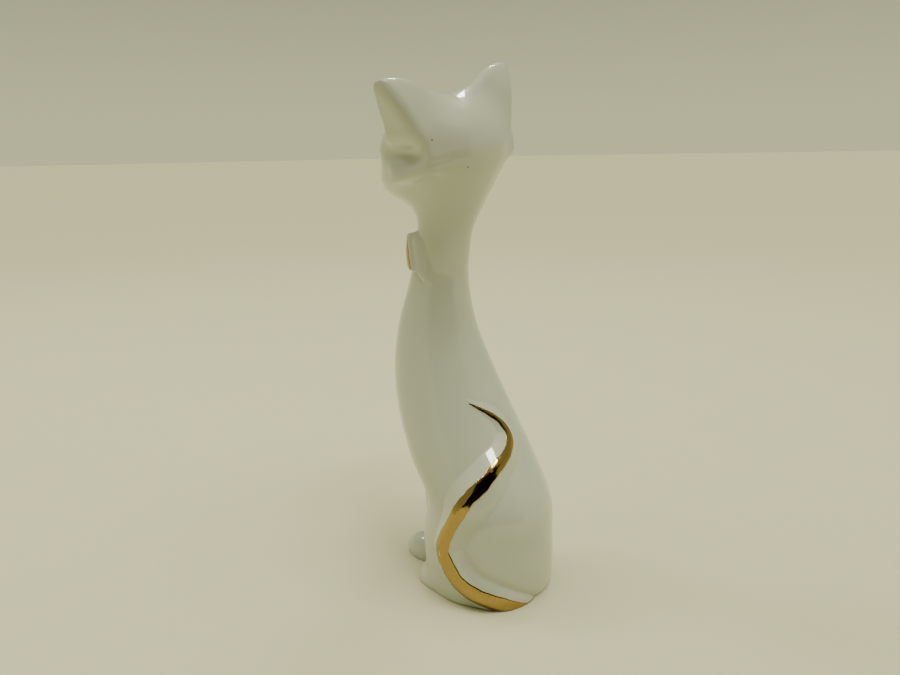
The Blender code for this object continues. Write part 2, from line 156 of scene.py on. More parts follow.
# Width over which the loop melts into the throat in front, and how much wider at the heel.
BOW_MELT = 0.8
BOW_MELT_HEEL = 3.6
KNOT_HALF = (2.9, 2.4, 3.4)
KNOT_INSET = 0.6

# The tail from its root, under the foot, to its tip: angle round the body, height, half width
# of the gold, rise of the crest. The angles and heights were rounded from a line that a scratch
# program traced from the photograph; fewer points chosen by hand should replace them.
TAIL_PATH = np.array((
    (178.0, -5.5, 3.5, 2.3),
    (166.0, -2.2, 3.5, 2.4),
    (153.0, 0.6, 3.5, 2.5),
    (138.0, 3.9, 3.4, 2.6),
    (123.0, 7.2, 3.2, 2.7),
    (110.0, 11.3, 3.0, 2.8),
    (101.0, 16.6, 2.9, 2.8),
    (96.0, 22.5, 2.8, 2.8),
    (99.0, 28.9, 2.4, 2.8),
    (106.5, 34.7, 2.1, 2.8),
    (116.5, 39.2, 1.9, 2.8),
    (130.0, 43.9, 1.8, 2.7),
    (144.0, 48.0, 1.8, 2.6),
    (158.5, 52.1, 1.7, 2.4),
    (174.0, 56.2, 1.6, 2.1),
    (184.0, 61.0, 1.6, 1.8),
    (181.0, 66.0, 1.4, 1.4),
    (171.5, 69.9, 1.0, 0.9),
    (157.0, 73.5, 0.3, 0.2),
))
TAIL_SAMPLES = 260
# The relief reaches only points this near to the skin, below this height and left of this x.
TAIL_NEAR = 14.0
TAIL_TOP = 84.0
TAIL_RIGHT = -14.0
# Beyond the ends of the line the relief fades out over this length.
TAIL_FADE = 2.0
# Width of the tail's front flank and of its long back flank, for each mm of rise.
FLANK_FRONT = 1.75
FLANK_BACK = 2.65
FLANK_LEAST = 0.6
# Powers that bend the front flank and the back flank, and the half width of the rounded crest.
FLANK_FRONT_BEND = 1.1
FLANK_BACK_BEND = 0.85
CREST_ROUND = 0.5
# The crest lies in front of the gold's middle by this share of the gold's half width.
CREST_SHIFT = -0.25
# Depth of the soft groove beyond the back flank, for each mm of rise.
GROOVE = 0.18
GROOVE_WIDTH = 1.6
# Radius on which the skin is unrolled.
BODY_RADIUS = 24.5

# How far each film of gold or enamel stands out from the glaze, how deep its back lies in the
# glaze, and the lowest height that it may reach.
TAIL_GOLD_LIFT = 0.12
BOW_GOLD_LIFT = 0.04
ENAMEL_LIFT = 0.05
FILM_DEPTH = 0.15
FILM_FLOOR = 0.02
# Columns and rows of each film's grid.
TAIL_GOLD_ROWS = 16
BOW_GOLD_GRID = (60, 40)
EYE_GRID = (36, 14)
NOSE_GRID = (20, 10)
# Bare margins beside the knot, at the loop's end and along its edges.
GOLD_KNOT_GAP = 1.0
GOLD_END_GAP = 0.1
GOLD_EDGE_GAP = 0.45
# Painted outlines start from this far in front of the head's centre.
FACE_START = -30.0

# Box that is sampled, and how many points or blocks are worked out at once.
BOX_LOW = np.array((-33.0, -52.0, -2.0))
BOX_HIGH = np.array((42.0, 34.0, 200.0))
POINTS_AT_ONCE = 60000
BLOCKS_AT_ONCE = 400
# Distance given to samples far from the surface.
FAR = 9.0
# Longest single move when a point settles, and half the step over which normals are measured.
SETTLE_MOVE = 0.4
NORMAL_STEP = 0.12

# The casting's regions: for each, the piece shown and the CAD node that it stands for.
SHELLS = {
    "body": ("body_glazed", "body_shell"),
    "head": ("head_glazed", "head_shell"),
    "tail": ("tail_glazed", "tail_relief"),
    "bow_left": ("bow_loop_left_glazed", "bow_loop_left"),
    "bow_right": ("bow_loop_right_glazed", "bow_loop_right"),
    "bow_knot": ("bow_knot_glazed", "bow_knot"),
}

# ---------------------------------------------------------------- looks, with sizes in metres

GLAZE_COLOUR = (0.56, 0.58, 0.495, 1.0)
CLOUD_COLOUR = (0.53, 0.555, 0.47, 1.0)
CLAY_COLOUR = (0.62, 0.55, 0.44, 1.0)
SPECK_COLOUR = (0.06, 0.045, 0.03, 1.0)
GOLD_COLOUR = (0.54, 0.39, 0.17, 1.0)
WORN_GOLD_COLOUR = (0.43, 0.31, 0.14, 1.0)
ENAMEL_COLOUR = (0.02, 0.017, 0.015, 1.0)
# Two pinholes in the glaze at the back of the head, and their size.
PINHOLES = ((0.0033, 0.0084, 0.1583), (0.0155, 0.0040, 0.1675))
PINHOLE_RADIUS = 0.00034
# Iron spots: cells to the metre, soft edge in parts of a cell, and how rare they are.
SPECK_CELLS = 62.0
SPECK_EDGE = (0.006, 0.012)
SPECK_RARITY = (0.86, 0.87)
# Roughness of the glazed and of the bare part, the clear coat's, and the height of its waves.
GLAZE_ROUGHNESS = (0.30, 0.8)
COAT_ROUGHNESS = 0.03
COAT_INDEX = 1.5
GLAZE_WAVES = 0.00012
# The glaze ends in a ragged line, up to this far above the floor.
BARE_RAGGED = 0.0009
BARE_EDGE = 0.0002
GOLD_ROUGHNESS = (0.07, 0.20)
GOLD_WAVES = 0.00002
ENAMEL_ROUGHNESS = 0.15

FLOOR_SIZE = 60.0
FLOOR_COLOUR = (0.66, 0.645, 0.49, 1.0)
FLOOR_ROUGHNESS = 0.8
CARD_COLOUR = (0.015, 0.014, 0.012, 1.0)
CARD_ROUGHNESS = 0.9
HORIZON_COLOUR = (1.26, 1.27, 0.80, 1.0)
ZENITH_COLOUR = (0.84, 0.85, 0.56, 1.0)
STUDIO_STRENGTH = 0.40
# Upward part of the direction at which the horizon's colour has turned into the zenith's.
SKY_FADE = 0.30
# Flags: middle, width, height.
GLOSS_FLAG = ((0.20, 0.35, 0.35), 0.78, 0.69)
SHADE_FLAG = ((0.22, 0.385, 0.46), 1.00, 0.58)
# Small lamps, all aimed at one point: name, place, watts.
LAMPS = (
    ("back_lamp", (0.08, 0.37, 0.915), 1.0),
    ("front_lamp", (0.27, -0.58, 0.82), 1.0),
    ("side_lamp", (-0.36, -0.14, 0.90), 0.8),
)
LAMP_TARGET = (0.0, 0.0, 0.1)
LAMP_SIZE = (0.20, 0.05)
LAMP_COLOUR = (1.0, 0.98, 0.93)
# Wide lights: name, direction they come from, watts on each square metre.
WIDE_LIGHTS = (
    ("back_soft", (-0.06, 0.31, 0.89), 1.45),
    ("front_soft", (0.25, -0.40, 0.85), 0.50),
)
WIDE_ANGLE = math.radians(50.0)
WIDE_COLOUR = (1.0, 0.985, 0.82)

# The camera's place is in the cat's frame, in millimetres.
LENS = 30.72
SENSOR = 36.0
CAMERA_PLACE = np.array((192.5, 198.0, 162.9))
CAMERA_HEADING = math.radians(138.54)
CAMERA_TILT = math.radians(76.55)
CAMERA_ROLL = math.radians(-1.02)

# ---------------------------------------------------------------- distance helpers


def spline(rows, t):
    """Catmull-Rom curve through rows at parameters t from 0 to len(rows) - 1."""
    i = np.clip(np.floor(t).astype(int), 0, len(rows) - 2)
    s = (t - i)[:, None]
    last = len(rows) - 1
    a, b, c, d = (rows[np.clip(i + k, 0, last)] for k in (-1, 0, 1, 2))
    return 0.5 * (
        2 * b + (c - a) * s + (2 * a - 5 * b + 4 * c - d) * s * s + (3 * b - a - 3 * c + d) * s ** 3
    )


def hermite(rows, x):
    """Smooth curve through rows, whose first column is the parameter."""
    i = np.clip(np.searchsorted(rows[:, 0], x, side="right") - 1, 0, len(rows) - 2)
    last = len(rows) - 1
    before, low, high, after = (rows[np.clip(i + k, 0, last)] for k in (-1, 0, 1, 2))
    span = (high[:, 0] - low[:, 0])[:, None]
    t = np.clip((x - low[:, 0])[:, None] / span, 0.0, 1.0)
    slope_low = (high - before) / np.maximum(high[:, :1] - before[:, :1], 1e-6) * span
    slope_high = (after - low) / (after[:, :1] - low[:, :1]) * span
    h00 = (1 + 2 * t) * (1 - t) ** 2
    h10 = t * (1 - t) ** 2
    h01 = t * t * (3 - 2 * t)
    h11 = t * t * (t - 1)
    return (h00 * low + h10 * slope_low + h01 * high + h11 * slope_high)[:, 1:]


def smin(a, b, k):
    """Union of two distances, melted together over a width of k."""
    h = np.clip(0.5 + 0.5 * (b - a) / k, 0.0, 1.0)
    return b + (a - b) * h - k * h * (1.0 - h)


def smax(a, b, k):
    """Intersection of two distances with an edge rounded over a width of k."""
    return -smin(-a, -b, k)


def ellipsoid(p, centre, half):
    """Nearly the distance to an ellipsoid's skin."""
    q = p - np.asarray(centre, np.float32)
    half = np.asarray(half, np.float32)
    k0 = np.sqrt(((q / half) ** 2).sum(1))
    k1 = np.sqrt(((q / half ** 2) ** 2).sum(1))
    return k0 * (k0 - 1.0) / np.maximum(k1, 1e-6)


def melt_in(form, p, lump):
    """A form with a lump melted onto it."""
    centre, half, melt = lump
    return smin(form, ellipsoid(p, centre, half), melt)


def capsule(p, start, end, radius_start, radius_end):
    """Rod with round ends and a steady taper."""
    a = np.asarray(start, np.float32)
    d = np.asarray(end, np.float32) - a
    h = np.clip(((p - a) @ d) / (d @ d), 0.0, 1.0)
    radius = radius_start + (radius_end - radius_start) * h
    return np.linalg.norm(p - a - h[:, None] * d, axis=1) - radius


def mirrored(p):
    """The same points folded onto the cat's left side."""
    q = p.copy()
    q[:, 0] = np.abs(q[:, 0])
    return q


def smoothstep(low, high, x):
    """Soft step from 0 at low to 1 at high."""
    t = np.clip((x - low) / (high - low), 0.0, 1.0)
    return t * t * (3.0 - 2.0 * t)


# ---------------------------------------------------------------- body

PROFILE_HEIGHTS = np.arange(-4.0, 157.0, 0.25)
PROFILE = hermite(BODY_STATIONS, PROFILE_HEIGHTS)


def profile(z):
    """Forward offset, half depth and half width of the body at each height."""
    return [np.interp(z, PROFILE_HEIGHTS, PROFILE[:, k]) for k in range(3)]


def plain_body(p):
    """Nearly the distance to the body and neck without limbs."""
    forward, depth, width = profile(p[:, 2])
    x = p[:, 0] / width
    y = (p[:, 1] + forward) / depth
    return (np.hypot(x, y) - 1.0) * np.minimum(depth, width) * 0.92


def limbs(p, body):
    """Haunches, front legs and paws melted onto the plain body."""
    q = mirrored(p)
    body = melt_in(body, q, HAUNCH)
    body = smin(body, capsule(q, *FORELEG), FORELEG_MELT)
    body = melt_in(body, q, PAW)
    return melt_in(body, q, HIND_FOOT)


def skin_point(turn, height, offset=0.0):
    """Point on the plain body's skin, for angles in radians from straight ahead."""
    forward, depth, width = profile(height)
    radius = depth * width / np.hypot(width * np.cos(turn), depth * np.sin(turn)) + offset
    return np.stack((radius * np.sin(turn), -forward - radius * np.cos(turn), height), 1)


def tail_line():
    """The tail on the unrolled skin: places, sideways directions, gold half widths and rises."""
    rows = spline(TAIL_PATH, np.linspace(0.0, len(TAIL_PATH) - 1.0, 2000))
    flat = np.stack((np.radians(rows[:, 0]) * BODY_RADIUS, rows[:, 1]), 1)
    run = np.concatenate(((0.0,), np.cumsum(np.linalg.norm(np.diff(flat, axis=0), axis=1))))
    steps = np.linspace(0.0, run[-1], TAIL_SAMPLES)
    even = np.stack([np.interp(steps, run, column) for column in (*flat.T, *rows[:, 2:].T)], 1)
    along = np.gradient(even[:, :2], axis=0)
    along /= np.linalg.norm(along, axis=1)[:, None]
    side = np.stack((along[:, 1], -along[:, 0]), 1)
    return even[:, :2], side, even[:, 2], even[:, 3], steps[1]


TAIL_PLACE, TAIL_SIDE, TAIL_GOLD, TAIL_RISE, TAIL_STEP = tail_line()


def tail_swell(p, body):
    """How far the tail's relief lifts the skin: a roof-like crest with a long flank behind it."""
    swell = np.zeros(len(p), np.float32)
    near = np.flatnonzero((np.abs(body) < TAIL_NEAR) & (p[:, 2] < TAIL_TOP) & (p[:, 0] > TAIL_RIGHT))
    centre = TAIL_PLACE.astype(np.float32)
    for start in range(0, len(near), POINTS_AT_ONCE):
        part = near[start:start + POINTS_AT_ONCE]
        q = p[part]
        forward = profile(q[:, 2])[0]
        turn = np.arctan2(q[:, 0], -q[:, 1] - forward)
        turn = np.where(turn < 0.0, turn + 2.0 * np.pi, turn)
        flat = np.stack((turn * BODY_RADIUS, q[:, 2]), 1).astype(np.float32)
        square = (flat * flat).sum(1)[:, None] + (centre * centre).sum(1)[None] - 2.0 * flat @ centre.T
        i = square.argmin(1)
        ahead = np.stack((-TAIL_SIDE[i, 1], TAIL_SIDE[i, 0]), 1)
        place = i + ((flat - TAIL_PLACE[i]) * ahead).sum(1) / TAIL_STEP
        beyond = np.maximum(np.maximum(-place, place - TAIL_SAMPLES + 1), 0.0) * TAIL_STEP
        place = np.clip(place, 0.0, TAIL_SAMPLES - 1.0)
        j = np.minimum(place.astype(int), TAIL_SAMPLES - 2)
        t = place - j
        side = TAIL_SIDE[j] * (1 - t)[:, None] + TAIL_SIDE[j + 1] * t[:, None]
        middle = TAIL_PLACE[j] * (1 - t)[:, None] + TAIL_PLACE[j + 1] * t[:, None]
        rise = TAIL_RISE[j] * (1 - t) + TAIL_RISE[j + 1] * t
        gold = TAIL_GOLD[j] * (1 - t) + TAIL_GOLD[j + 1] * t
        across = ((flat - middle) * side).sum(1) - CREST_SHIFT * gold
        width = np.where(across > 0.0, FLANK_BACK, FLANK_FRONT) * rise + FLANK_LEAST
        share = np.sqrt(across ** 2 + CREST_ROUND ** 2) / width
        bend = np.where(across > 0.0, FLANK_BACK_BEND, FLANK_FRONT_BEND)
        roof = np.clip(1.0 - share, 0.0, 1.0) ** bend
        groove = GROOVE * np.exp(-((across - width) / GROOVE_WIDTH) ** 2)
        swell[part] = (rise * (roof - groove)) * np.clip(1.0 - beyond / TAIL_FADE, 0.0, 1.0)
    return swell


# ---------------------------------------------------------------- bow


def bow_end(rise):
    """Arc at which the loop's face ends: it leans, and its corners are turned."""
    return BOW_END - BOW_LEAN * rise - BOW_CORNER * rise ** 2


def bow_half(arc):
    """Half height of the loop's fan at an arc from the middle."""
    share = np.clip((arc - BOW_KNOT) / (BOW_END - BOW_KNOT), 0.0, 1.0)
    return BOW_KNOT_HALF + (BOW_END_HALF - BOW_KNOT_HALF) * share ** BOW_FLARE


def bow_loop(p):
    """Both loops: upright padded fans wrapped round the throat, each with a long heel."""
    y = p[:, 1] + BOW_FORWARD
    radius = np.hypot(p[:, 0], y)
    arc = np.abs(np.arctan2(p[:, 0], -y)) * BOW_RADIUS
    rise = p[:, 2] - BOW_HEIGHT
    past = arc - bow_end(rise)
    sag = BOW_HEEL_SAG * np.maximum(past, 0.0) * smoothstep(2.0, -6.0, rise)
    outline = smax(np.abs(rise) - bow_half(arc) - sag, past - BOW_HEEL, BOW_OUTLINE_ROUND)
    outline = np.maximum(outline, BOW_KNOT * 0.4 - arc)
    full = np.clip(1.0 - (rise / bow_half(arc)) ** 2, 0.0, 1.0)
    puff = BOW_PUFF * full * smoothstep(0.0, 4.0, -past)
    sink = BOW_HEEL_SINK * smax(np.maximum(past, -2.0), np.zeros_like(past), 1.2)
    return smax(outline, radius - BOW_RADIUS - puff + sink, BOW_FACE_ROUND)


def bow_melt(p):
    """Width over which the bow runs into the throat: crisp in front, soft at the heel."""
    arc = np.abs(np.arctan2(p[:, 0], -p[:, 1] - BOW_FORWARD)) * BOW_RADIUS
    rise = p[:, 2] - BOW_HEIGHT
    heel = smoothstep(0.0, 5.0, arc - bow_end(rise))
    return BOW_MELT + BOW_MELT_HEEL * heel * smoothstep(8.0, 4.0, rise)


def bow_knot(p):
    """The knot between the loops."""
    return ellipsoid(p, (0.0, -BOW_FORWARD - BOW_RADIUS + KNOT_INSET, BOW_HEIGHT), KNOT_HALF)


# ---------------------------------------------------------------- head


def head_turn():
    """Rotation from the cat's frame to the head's, for points as rows."""
    c = math.cos(HEAD_TILT)
    s = math.sin(HEAD_TILT)
    return np.array(((c, 0.0, s), (0.0, 1.0, 0.0), (-s, 0.0, c)))


def head_frame(p):
    """Points in the head's own frame, which tilts towards the left shoulder."""
    return (p - HEAD_CENTRE.astype(np.float32)) @ head_turn().astype(np.float32)


def from_head(q):
    """Points of the head's frame in the cat's frame."""
    return q @ head_turn().T + HEAD_CENTRE


def plane(p, a, b, c, inside, lift):
    """Distance above the plane through three points, moved outward by lift."""
    normal = np.cross(b - a, c - a)
    normal /= np.linalg.norm(normal)
    if (inside - a) @ normal > 0:
        normal = -normal
    return (p - a.astype(np.float32)) @ normal.astype(np.float32) - lift


def dome(p, a, b, c, inside, radius, lift):
    """Distance above a ball's skin that runs through three points, moved outward by lift."""
    normal = np.cross(b - a, c - a)
    length_squared = normal @ normal
    ab = b - a
    ac = c - a
    turned = (ac @ ac) * np.cross(normal, ab) + (ab @ ab) * np.cross(ac, normal)
    around = a + turned / (2.0 * length_squared)
    normal = normal / math.sqrt(length_squared)
    if (inside - a) @ normal > 0:
        normal = -normal
    ring_squared = (a - around) @ (a - around)
    centre = around - normal * math.sqrt(max(radius * radius - ring_squared, 0.0))
    return np.linalg.norm(p - centre.astype(np.float32), axis=1) - radius - lift


def ears(q):
    """Both ears: a flat outer side with a keen front edge, and a full rounded back."""
    m = mirrored(q)
    middle = (EAR_TIP + EAR_FRONT + EAR_BACK + EAR_INNER) / 4.0
    front = dome(m, EAR_TIP, EAR_FRONT, EAR_INNER, middle, *EAR_FRONT_BALL)
    side = plane(m, EAR_TIP, EAR_FRONT, EAR_BACK, middle, EAR_SIDE_LIFT)
    back = dome(m, EAR_TIP, EAR_BACK, EAR_INNER, middle, *EAR_BACK_BALL)
    base = plane(m, EAR_FRONT, EAR_BACK, EAR_INNER, middle, EAR_BASE_LIFT)
    keen, full, root, rim = EAR_ROUND
    cone = smax(smax(front, side, keen), back, full)
    cone = smax(cone, base, root)
    return smax(cone, -capsule(m, *EAR_SCOOP), rim)


def skull(q, inset):
    """Egg that narrows to the neck like a cone, smaller all round by the inset."""
    form = ellipsoid(q, (0.0, 0.0, 0.0), [half - inset for half in SKULL])
    across = np.hypot(q[:, 0], q[:, 1] * SKULL[0] / SKULL[1])
    taper = (across - (TAPER_RADIUS - inset + TAPER_SLOPE * q[:, 2])) * TAPER_SCALE
    return smax(form, taper, TAPER_MELT)


def head(p):
    """Skull, brow, jowls, cheeks, muzzle and ears, pressed in at the temples."""
    q = head_frame(p)
    m = mirrored(q)
    bridged = m.copy()
    bridged[:, 0] = np.sqrt(m[:, 0] ** 2 + JOWL_BRIDGE ** 2)
    swept = m.copy()
    swept[:, 2] -= CHEEK_SWEEP * (m[:, 1] + 1.0)
    form = melt_in(skull(q, 0.0), q, BROW)
    form = melt_in(form, bridged, JOWL)
    form = melt_in(form, swept, CHEEK)
    form = melt_in(form, q, MUZZLE)
    form = smin(form, ears(q), EAR_MELT)
    centre, half, melt = TEMPLE
    return smax(form, -ellipsoid(m, centre, half), melt)


# ---------------------------------------------------------------- whole casting


def outer_skin(p):
    """The glazed outside of the whole cat."""
    body = plain_body(p)
    low = p[:, 2] < TAIL_ZONE_TOP
    swell = tail_swell(p[low], body[low])
    body[low] = limbs(p[low], body[low]) - swell
    body = smax(body, p[:, 2] - NECK_TOP, 3.0)
    near = (p[:, 2] > BOW_ZONE[0]) & (p[:, 2] < BOW_ZONE[1])
    bow = np.minimum(bow_loop(p[near]), 50.0)
    body[near] = smin(body[near], smin(bow, bow_knot(p[near]), KNOT_MELT), bow_melt(p[near]))
    top = p[:, 2] > HEAD_ZONE_BOTTOM
    body[top] = smin(body[top], head(p[top]), NECK_MELT)
    return smax(body, -p[:, 2], 0.5)


def hollow(p):
    """The drained space inside, open at the foot and through the neck."""
    forward, depth, width = profile(p[:, 2])
    wall = FOOT_RIM + (WALL - FOOT_RIM) * smoothstep(*FOOT_RIM_HEIGHTS, p[:, 2])
    radius = np.minimum(depth, width) - wall
    inside = np.hypot(p[:, 0], p[:, 1] + forward) - radius
    inside = smax(inside, p[:, 2] - HOLLOW_TOP, 1.0)
    return smin(inside, skull(head_frame(p), SKULL_WALL), 3.0)


def casting(p):
    """The whole hollow casting."""
    p = np.asarray(p, np.float32)
    return smax(outer_skin(p), -hollow(p), 0.5)


# ---------------------------------------------------------------- meshing


def sample(low, high, step, block=8):
    """Distances on a grid, worked out only in blocks that the surface may cross."""
    counts = [int(math.ceil((high[k] - low[k]) / step / block)) for k in range(3)]
    values = np.full([n * block + 1 for n in counts], FAR, np.float32)
    span = step * block
    centres = np.stack(np.meshgrid(*[np.arange(n) for n in counts], indexing="ij"), -1).reshape(-1, 3)
    middle = low + (centres + 0.5) * span
    rough = casting(middle)
    reach = span * 1.25
    grid = np.stack(np.meshgrid(*[np.arange(block + 1)] * 3, indexing="ij"), -1).reshape(-1, 3)
    for cell in centres[rough < -reach]:
        a = cell * block
        values[a[0]:a[0] + block + 1, a[1]:a[1] + block + 1, a[2]:a[2] + block + 1] = -FAR
    live = centres[np.abs(rough) <= reach]
    for start in range(0, len(live), BLOCKS_AT_ONCE):
        part = live[start:start + BLOCKS_AT_ONCE]
        index = part[:, None] * block + grid[None]
        found = casting((low + index * step).reshape(-1, 3)).reshape(len(part), -1)
        flat = index.reshape(-1, 3)
        values[flat[:, 0], flat[:, 1], flat[:, 2]] = found.ravel()
    return values


CELL_CORNERS = [(dx, dy, dz) for dx in (0, 1) for dy in (0, 1) for dz in (0, 1)]


def crossed_cells(inside):
    """Grid cells that have corners on both sides of the surface."""
    shape = np.array(inside.shape) - 1
    count = np.zeros(shape, np.int8)
    for corner in CELL_CORNERS:
        count += inside[tuple(slice(d, d + n) for d, n in zip(corner, shape))]
    return (count > 0) & (count < len(CELL_CORNERS))


def net_points(values, cells):
    """Middle of the places where each cell's edges cross the surface, counted in cells."""
    total = np.zeros((len(cells), 3))
    hits = np.zeros(len(cells))
    corner = {}
    for offset in CELL_CORNERS:
        i = cells + np.array(offset)
        corner[offset] = values[i[:, 0], i[:, 1], i[:, 2]].astype(float)
    for a in CELL_CORNERS:
        for k in range(3):
            if a[k]:
                continue
            b = tuple(1 if m == k else a[m] for m in range(3))
            start, end = corner[a], corner[b]
            hit = (start < 0) != (end < 0)
            t = np.where(hit, start / np.where(hit, start - end, 1.0), 0.0)
            spot = np.tile(np.array(a, float), (len(cells), 1))
            spot[:, k] += t
            total[hit] += spot[hit]
            hits[hit] += 1
    return cells + total / hits[:, None]


def net_quads(inside, ids, k):
    """Outward facing quads round the grid edges along axis k that cross the surface."""
    i, j = (k + 1) % 3, (k + 2) % 3
    first = [slice(None)] * 3
    second = [slice(None)] * 3
    first[k] = slice(0, -1)
    second[k] = slice(1, None)
    edges = np.argwhere(inside[tuple(first)] != inside[tuple(second)])
    keep = (edges[:, i] > 0) & (edges[:, j] > 0)
    keep &= (edges[:, i] < ids.shape[i]) & (edges[:, j] < ids.shape[j])
    edges = edges[keep]
    ring = []
    for di, dj in ((-1, -1), (0, -1), (0, 0), (-1, 0)):
        cell = edges.copy()
        cell[:, i] += di
        cell[:, j] += dj
        ring.append(ids[cell[:, 0], cell[:, 1], cell[:, 2]])
    quad = np.stack(ring, 1)
    low_inside = inside[edges[:, 0], edges[:, 1], edges[:, 2]]
    quad[~low_inside] = quad[~low_inside][:, ::-1]
    return quad


def surface_net(values, low, step):
    """Mesh of the zero level: a vertex in each crossed cell, and a quad for each crossed edge."""
    inside = values < 0.0
    crossed = crossed_cells(inside)
    ids = np.full(crossed.shape, -1, np.int64)
    ids[crossed] = np.arange(int(crossed.sum()))
    points = low + net_points(values, np.argwhere(crossed)) * step
    return points, np.concatenate([net_quads(inside, ids, k) for k in range(3)])


def slope(points, step=0.04):
    """Gradient of the casting's distance."""
    parts = []
    for k in range(3):
        shift = np.zeros(3)
        shift[k] = step
        parts.append((casting(points + shift) - casting(points - shift)) / (2.0 * step))
    return np.stack(parts, 1)


def settle(points, level=0.0, rounds=3):
    """Points moved along the gradient onto a level of the distance, and their outward normals."""
    points = points.copy()
    for _ in range(rounds):
        gradient = slope(points)
        steepness = np.maximum((gradient ** 2).sum(1), 0.05)
        move = ((casting(points) - level) / steepness)[:, None] * gradient
        length = np.linalg.norm(move, axis=1)[:, None]
        points -= move * np.minimum(1.0, SETTLE_MOVE / np.maximum(length, 1e-9))
    gradient = slope(points, NORMAL_STEP)
    return points, gradient / np.maximum(np.linalg.norm(gradient, axis=1)[:, None], 1e-6)


# ---------------------------------------------------------------- pieces


def mesh_object(name, points, faces, normals, look):
    """Shaded object from points in the cat's frame, with the surface's own normals."""
    mesh = bpy.data.meshes.new(name)
    world = (points + BASE) * MM
    mesh.from_pydata(world.tolist(), [], [face.tolist() for face in faces])
    mesh.update()
    mesh.polygons.foreach_set("use_smooth", [True] * len(mesh.polygons))
    if normals is not None:
        mesh.normals_split_custom_set_from_vertices(normals.tolist())
    mesh.materials.append(look)
    made = bpy.data.objects.new(name, mesh)
    bpy.context.scene.collection.objects.link(made)
    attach(made, "root")
    return made


def casting_outside(q):
    """Whether points lie on the outside skin rather than in the hollow."""
    return outer_skin(q) > -1.0


def regions(p):
    """Name of the casting's piece that each point belongs to."""
    names = np.full(len(p), "body", object)
    low = p[:, 2] < TAIL_ZONE_TOP
    q = np.asarray(p[low], np.float32)
    swell = tail_swell(q, plain_body(q))
    on_tail = (swell > 0.12) & (q[:, 2] > 0.6) & casting_outside(q)
    names[np.flatnonzero(low)[on_tail]] = "tail"
    near = (p[:, 2] > BOW_ZONE[0]) & (p[:, 2] < BOW_ZONE[1] - 3.0)
    q = np.asarray(p[near], np.float32)
    body = plain_body(q)
    loop = bow_loop(q)
    knot = bow_knot(q)
    index = np.flatnonzero(near)
    on_loop = loop < body - 0.1
    names[index[on_loop & (q[:, 0] > 0)]] = "bow_left"
    names[index[on_loop & (q[:, 0] <= 0)]] = "bow_right"
    names[index[knot < np.minimum(loop, body)]] = "bow_knot"
    names[p[:, 2] > LUTING_HEIGHT] = "head"
    return names


def ceramic(look):
    """The casting, split where its pieces meet and shaded as one skin."""
    values = sample(BOX_LOW, BOX_HIGH, VOXEL)
    points, quads = surface_net(values, BOX_LOW, VOXEL)
    points, normals = settle(points)
    kinds = regions(points[quads].mean(1))
    for kind, (name, node) in SHELLS.items():
        faces = quads[kinds == kind]
        used, faces = np.unique(faces, return_inverse=True)
        faces = faces.reshape(-1, 4)
        piece = mesh_object(name, points[used], faces, normals[used], look)
        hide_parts(node)


def grid_faces(columns, rows):
    """Quads of a grid whose points run row by row."""
    i = np.arange(columns)[:, None] * (rows + 1)
    j = np.arange(rows)[None]
    a = (i + j).ravel()
    return np.stack((a, a + rows + 1, a + rows + 2, a + 1), 1)


def film(name, node, slot, points, columns, rows, look, lift):
    """Thin film laid on the casting: a grid of points settled on its skin, closed at the back."""
    over, normals = settle(points, lift, 6)
    under = over - normals * (lift + FILM_DEPTH)
    over[:, 2] = np.maximum(over[:, 2], FILM_FLOOR)
    under[:, 2] = np.maximum(under[:, 2], FILM_FLOOR)
    top = grid_faces(columns, rows)
    count = len(over)
    edge = [i * (rows + 1) for i in range(columns)]
    edge += [columns * (rows + 1) + j for j in range(rows)]
    edge += [i * (rows + 1) + rows for i in range(columns, 0, -1)]
    edge += list(range(rows, 0, -1))
    edge = np.array(edge)
    after = np.roll(edge, -1)
    sides = np.stack((edge, edge + count, after + count, after), 1)
    faces = np.concatenate((top, top[:, ::-1] + count, sides))
    a, b, c = (over[top[:, k]] for k in (0, 1, 2))
    facing = (np.cross(b - a, c - a) * normals[top[:, 0]]).sum()
    if facing < 0:
        faces = faces[:, ::-1]
    everything = np.concatenate((over, under))
    made = mesh_object(name, everything, faces, None, look)
    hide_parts(node)


def tail_gold(look):
    """Lustre along the tail's crest, brushed by hand."""
    columns = TAIL_SAMPLES - 1
    rows = TAIL_GOLD_ROWS
    share = np.linspace(0.0, 1.0, TAIL_SAMPLES)
    wobble = 0.10 * np.sin(share * 61.0) + 0.07 * np.sin(share * 143.0 + 1.0)
    half = TAIL_GOLD + wobble
    shift = 0.15 * np.sin(share * 37.0 + 2.0)
    reach = np.linspace(-1.0, 1.0, rows + 1)[None] * half[:, None] + shift[:, None]
    flat = TAIL_PLACE[:, None] + TAIL_SIDE[:, None] * reach[..., None]
    flat = flat.reshape(-1, 2)
    height = np.maximum(flat[:, 1], 0.0)
    points = skin_point(flat[:, 0] / BODY_RADIUS, height, 2.0)
    film("tail_gold", "tail_gilding", "gold", points, columns, rows, look, TAIL_GOLD_LIFT)


